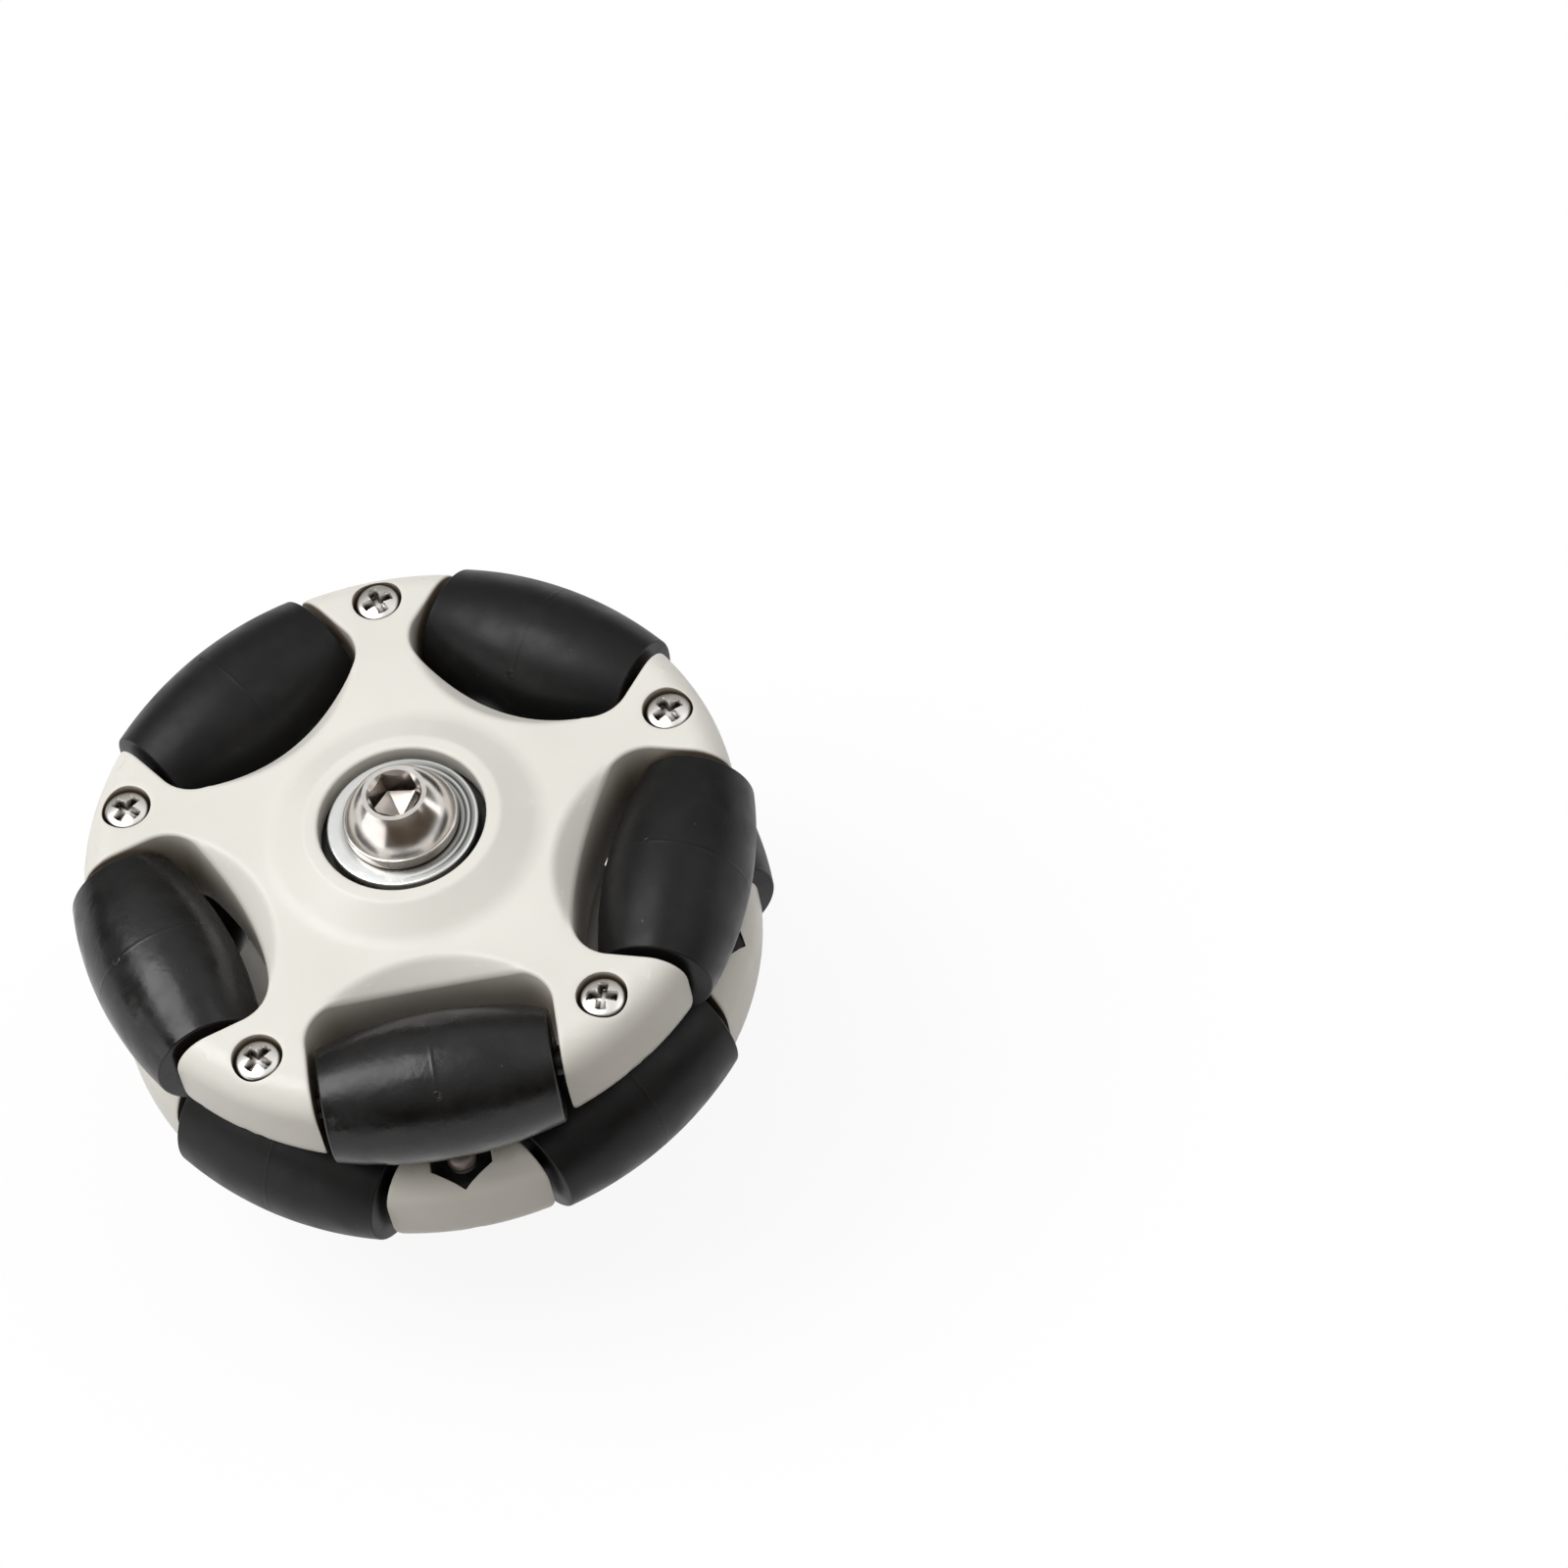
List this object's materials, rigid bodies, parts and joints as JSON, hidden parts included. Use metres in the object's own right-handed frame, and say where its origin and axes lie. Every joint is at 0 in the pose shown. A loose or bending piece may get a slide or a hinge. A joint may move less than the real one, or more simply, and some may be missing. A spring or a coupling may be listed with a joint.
{
  "type": "roller wheel",
  "caption": "Omnidirectional wheel with staggered rows of barrel rollers in moulded half shells, turning on ball bearings on an axle bolt with a free threaded end.",
  "frame": {"origin": "on the axle's axis at the end of the lock nut, where a bracket on the bolt's free end seats", "axes": "+Z along the axle towards the bolt head; a front roller lies at -Y"},
  "size_m": [0.0584, 0.058, 0.0442],
  "materials": {
    "shell_plastic": "satin moulded, warm off-white",
    "roller_rubber": "satin black, moulded",
    "bolt_steel": "nickel plated, satin",
    "zinc_steel": "bright zinc plated",
    "bearing_steel": "ground steel",
    "nylon_insert": "blue nylon"
  },
  "bodies": {
    "axle": {"axle_bolt": "bolt_steel", "axle_washer": "zinc_steel", "lock_nut": "zinc_steel", "lock_nut_insert": "nylon_insert", "bearing_spacer": "bearing_steel", "front_bearing_inner_ring": "bearing_steel", "rear_bearing_inner_ring": "bearing_steel"},
    "wheel": {"front_outer_shell": "shell_plastic", "front_inner_shell": "shell_plastic", "front_shell_screws": "bolt_steel", "front_shell_nuts": "zinc_steel", "front_roller_pin_1": "bearing_steel", "front_roller_pin_2": "bearing_steel", "front_roller_pin_3": "bearing_steel", "front_roller_pin_4": "bearing_steel", "front_roller_pin_5": "bearing_steel", "front_bearing_outer_ring": "bearing_steel", "front_bearing_top_shield": "bearing_steel", "front_bearing_bottom_shield": "bearing_steel", "rear_outer_shell": "shell_plastic", "rear_inner_shell": "shell_plastic", "rear_shell_screws": "bolt_steel", "rear_shell_nuts": "zinc_steel", "rear_roller_pin_1": "bearing_steel", "rear_roller_pin_2": "bearing_steel", "rear_roller_pin_3": "bearing_steel", "rear_roller_pin_4": "bearing_steel", "rear_roller_pin_5": "bearing_steel", "rear_bearing_outer_ring": "bearing_steel", "rear_bearing_top_shield": "bearing_steel", "rear_bearing_bottom_shield": "bearing_steel"},
    "front_cage": {"front_bearing_balls": "bearing_steel", "front_bearing_cage": "bearing_steel"},
    "rear_cage": {"rear_bearing_balls": "bearing_steel", "rear_bearing_cage": "bearing_steel"},
    "front_roller_1": {"front_roller_1": "roller_rubber"},
    "front_roller_2": {"front_roller_2": "roller_rubber"},
    "front_roller_3": {"front_roller_3": "roller_rubber"},
    "front_roller_4": {"front_roller_4": "roller_rubber"},
    "front_roller_5": {"front_roller_5": "roller_rubber"},
    "rear_roller_1": {"rear_roller_1": "roller_rubber"},
    "rear_roller_2": {"rear_roller_2": "roller_rubber"},
    "rear_roller_3": {"rear_roller_3": "roller_rubber"},
    "rear_roller_4": {"rear_roller_4": "roller_rubber"},
    "rear_roller_5": {"rear_roller_5": "roller_rubber"}
  },
  "joints": [
    {"name": "wheel_spin", "type": "hinge", "parent": "axle", "child": "wheel", "pos_m": [0, 0, 0.0194], "axis": [0, 0, 1], "continuous": true},
    {"name": "front_cage_spin", "type": "hinge", "parent": "axle", "child": "front_cage", "pos_m": [0, 0, 0.0194], "axis": [0, 0, 1], "continuous": true},
    {"name": "rear_cage_spin", "type": "hinge", "parent": "axle", "child": "rear_cage", "pos_m": [0, 0, 0.0194], "axis": [0, 0, 1], "continuous": true},
    {"name": "front_roller_1_spin", "type": "hinge", "parent": "wheel", "child": "front_roller_1", "pos_m": [0, -0.02285, 0.0255], "axis": [1, 0, 0], "continuous": true},
    {"name": "front_roller_2_spin", "type": "hinge", "parent": "wheel", "child": "front_roller_2", "pos_m": [0.02173, -0.00706, 0.0255], "axis": [0.309, 0.9511, 0], "continuous": true},
    {"name": "front_roller_3_spin", "type": "hinge", "parent": "wheel", "child": "front_roller_3", "pos_m": [0.01343, 0.01849, 0.0255], "axis": [-0.809, 0.5878, 0], "continuous": true},
    {"name": "front_roller_4_spin", "type": "hinge", "parent": "wheel", "child": "front_roller_4", "pos_m": [-0.01343, 0.01849, 0.0255], "axis": [-0.809, -0.5878, 0], "continuous": true},
    {"name": "front_roller_5_spin", "type": "hinge", "parent": "wheel", "child": "front_roller_5", "pos_m": [-0.02173, -0.00706, 0.0255], "axis": [0.309, -0.9511, 0], "continuous": true},
    {"name": "rear_roller_1_spin", "type": "hinge", "parent": "wheel", "child": "rear_roller_1", "pos_m": [0, 0.02285, 0.0133], "axis": [1, 0, 0], "continuous": true},
    {"name": "rear_roller_2_spin", "type": "hinge", "parent": "wheel", "child": "rear_roller_2", "pos_m": [0.02173, 0.00706, 0.0133], "axis": [0.309, -0.9511, 0], "continuous": true},
    {"name": "rear_roller_3_spin", "type": "hinge", "parent": "wheel", "child": "rear_roller_3", "pos_m": [0.01343, -0.01849, 0.0133], "axis": [-0.809, -0.5878, 0], "continuous": true},
    {"name": "rear_roller_4_spin", "type": "hinge", "parent": "wheel", "child": "rear_roller_4", "pos_m": [-0.01343, -0.01849, 0.0133], "axis": [-0.809, 0.5878, 0], "continuous": true},
    {"name": "rear_roller_5_spin", "type": "hinge", "parent": "wheel", "child": "rear_roller_5", "pos_m": [-0.02173, 0.00706, 0.0133], "axis": [0.309, 0.9511, 0], "continuous": true}
  ],
  "couplings": [
    {"joint": "front_cage_spin", "follows": "wheel_spin", "ratio": 0.64228},
    {"joint": "rear_cage_spin", "follows": "wheel_spin", "ratio": 0.64228}
  ]
}
